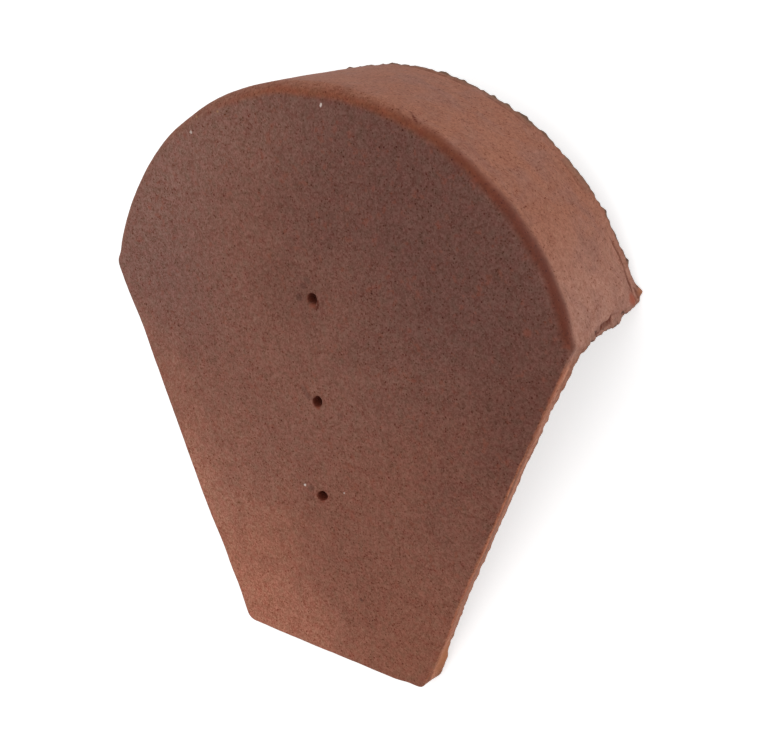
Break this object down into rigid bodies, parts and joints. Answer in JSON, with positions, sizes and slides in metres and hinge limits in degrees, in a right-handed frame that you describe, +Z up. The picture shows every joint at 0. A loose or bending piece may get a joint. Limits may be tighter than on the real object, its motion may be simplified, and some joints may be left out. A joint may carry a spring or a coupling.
{
  "type": "ridge end tile",
  "caption": "Fired-clay tile that closes the end of a round ridge: a rounded, tapering face plate with nail holes and a curved hood over its crown.",
  "frame": {"origin": "on the floor, under the middle of the tile's box, as the tile lies face up", "axes": "+Y from the narrow foot to the crown, +Z up; the face leans 17 degrees from level, rising to the crown"},
  "size_m": [0.2386, 0.272, 0.0851],
  "materials": {
    "fired_clay": "matt unglazed fired clay, purplish brown with fine dark specks"
  },
  "bodies": {
    "root": {"ridge_end_tile": "fired_clay"}
  },
  "joints": []
}
